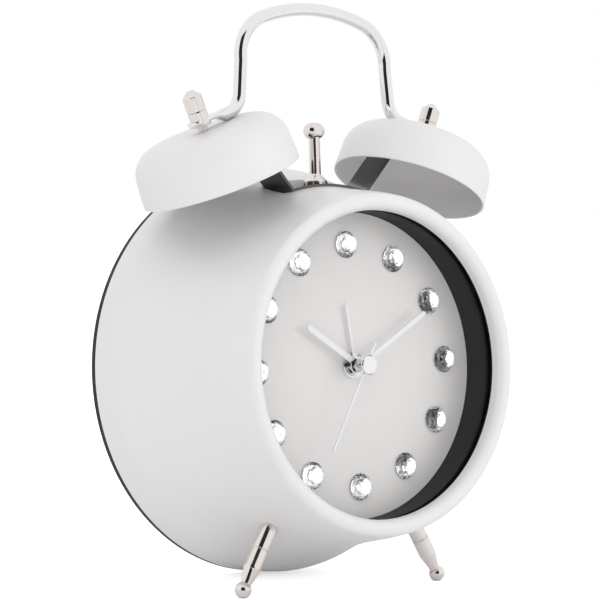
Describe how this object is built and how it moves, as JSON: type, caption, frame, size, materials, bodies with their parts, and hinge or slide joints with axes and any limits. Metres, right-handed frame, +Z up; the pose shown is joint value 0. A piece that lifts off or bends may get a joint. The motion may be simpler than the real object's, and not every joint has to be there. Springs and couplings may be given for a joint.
{
  "type": "twin-bell alarm clock",
  "caption": "Round twin-bell alarm clock with flared case, bail handle, ball feet, four hands on a crystal-marked dial and a battery movement with rear setting knobs",
  "frame": {"origin": "On the table under the middle of the clock: half way across the width and half way between the frontmost and rearmost points.", "axes": "+X is the viewer's right when facing the dial, -Y is towards the viewer, +Z is up. The clock leans back by 6.53 degrees as it stands."},
  "size_m": [0.1654, 0.099, 0.2326],
  "materials": {
    "case_enamel": "satin white enamel",
    "bell_enamel": "satin white enamel",
    "handle_chrome": "polished chrome plate",
    "nickel": "warm polished nickel plate",
    "strip_black": "black oxide",
    "cover_black": "fine-grained black",
    "module_black": "smooth black",
    "door_black": "smooth black",
    "knob_black": "fluted black",
    "switch_red": "red",
    "lens_glass": "clear",
    "gasket_rubber": "black",
    "ring_grey": "dark grey",
    "dial_silver": "silver-white satin",
    "crystal": "cut, silver backed",
    "hand_silver": "satin",
    "cap_white": "white",
    "wheel_plastic": "natural acetal",
    "plate_plastic": "grey",
    "hub_chrome": "polished",
    "steel": "zinc plated",
    "battery_wrap": "printed can",
    "contact_steel": "spring steel",
    "board_green": "solder mask",
    "coil_copper": "enamelled copper",
    "buzzer_black": "black"
  },
  "bodies": {
    "clock": {"case_shell": "case_enamel", "rear_cover": "cover_black", "cover_lugs": "steel", "cover_screws": "steel", "lens": "lens_glass", "lens_gasket": "gasket_rubber", "dial_ring": "ring_grey", "dial_plate": "dial_silver", "hour_crystals": "crystal", "bell_left": "bell_enamel", "bell_right": "bell_enamel", "bell_stud_left": "nickel", "bell_stud_right": "nickel", "bell_nut_left": "nickel", "bell_nut_right": "nickel", "bell_strip": "strip_black", "handle": "handle_chrome", "hammer_stem": "nickel", "hammer_head": "nickel", "hammer_washer": "nickel", "hammer_nut": "steel", "foot_collar_left": "nickel", "foot_collar_right": "nickel", "foot_left": "nickel", "foot_right": "nickel", "foot_nut_left": "steel", "foot_nut_right": "steel", "module_housing": "module_black", "dial_nut": "hub_chrome", "module_back": "module_black", "gear_plate": "plate_plastic", "battery": "battery_wrap", "battery_contacts": "contact_steel", "circuit_board": "board_green", "motor_coil": "coil_copper", "buzzer": "buzzer_black"},
    "minute": {"minute_arbor": "wheel_plastic", "minute_hand": "hand_silver"},
    "motion": {"motion_wheel": "wheel_plastic"},
    "hour": {"hour_wheel": "wheel_plastic", "hour_hand": "hand_silver"},
    "second": {"second_wheel": "wheel_plastic", "second_hand": "hand_silver", "second_cap": "cap_white"},
    "alarm": {"alarm_wheel": "wheel_plastic", "alarm_hand": "hand_silver"},
    "time_setter": {"time_knob": "knob_black"},
    "alarm_setter": {"alarm_knob": "knob_black"},
    "switch": {"alarm_switch": "switch_red"},
    "door": {"battery_door": "door_black"}
  },
  "joints": [
    {"name": "minute_turn", "type": "hinge", "parent": "clock", "child": "minute", "pos_m": [0, -0.02217, 0.08929], "axis": [0, 0.9935, -0.1137], "continuous": true},
    {"name": "motion_turn", "type": "hinge", "parent": "clock", "child": "motion", "pos_m": [-0.00938, -0.01138, 0.09559], "axis": [0, 0.9935, -0.1137], "continuous": true},
    {"name": "hour_turn", "type": "hinge", "parent": "clock", "child": "hour", "pos_m": [0, -0.02217, 0.08929], "axis": [0, 0.9935, -0.1137], "continuous": true},
    {"name": "second_turn", "type": "hinge", "parent": "clock", "child": "second", "pos_m": [0, -0.02217, 0.08929], "axis": [0, 0.9935, -0.1137], "continuous": true},
    {"name": "alarm_turn", "type": "hinge", "parent": "clock", "child": "alarm", "pos_m": [0, -0.02217, 0.08929], "axis": [0, 0.9935, -0.1137], "continuous": true},
    {"name": "time_set", "type": "hinge", "parent": "clock", "child": "time_setter", "pos_m": [-0.02125, 0.03883, 0.08804], "axis": [0, 0.9935, -0.1137], "continuous": true},
    {"name": "alarm_set", "type": "hinge", "parent": "clock", "child": "alarm_setter", "pos_m": [0.02125, 0.03883, 0.08804], "axis": [0, 0.9935, -0.1137], "continuous": true},
    {"name": "switch_slide", "type": "slide", "parent": "clock", "child": "switch", "axis": [1, 0, 0], "range_m": [0, 0.005]},
    {"name": "door_slide", "type": "slide", "parent": "clock", "child": "door", "axis": [0, -0.1137, -0.9935], "range_m": [0, 0.02]}
  ],
  "couplings": [
    {"joint": "motion_turn", "follows": "minute_turn", "ratio": -0.33333},
    {"joint": "hour_turn", "follows": "minute_turn", "ratio": 0.083333},
    {"joint": "time_set", "follows": "minute_turn", "ratio": 1},
    {"joint": "alarm_set", "follows": "alarm_turn", "ratio": -2.1429}
  ]
}
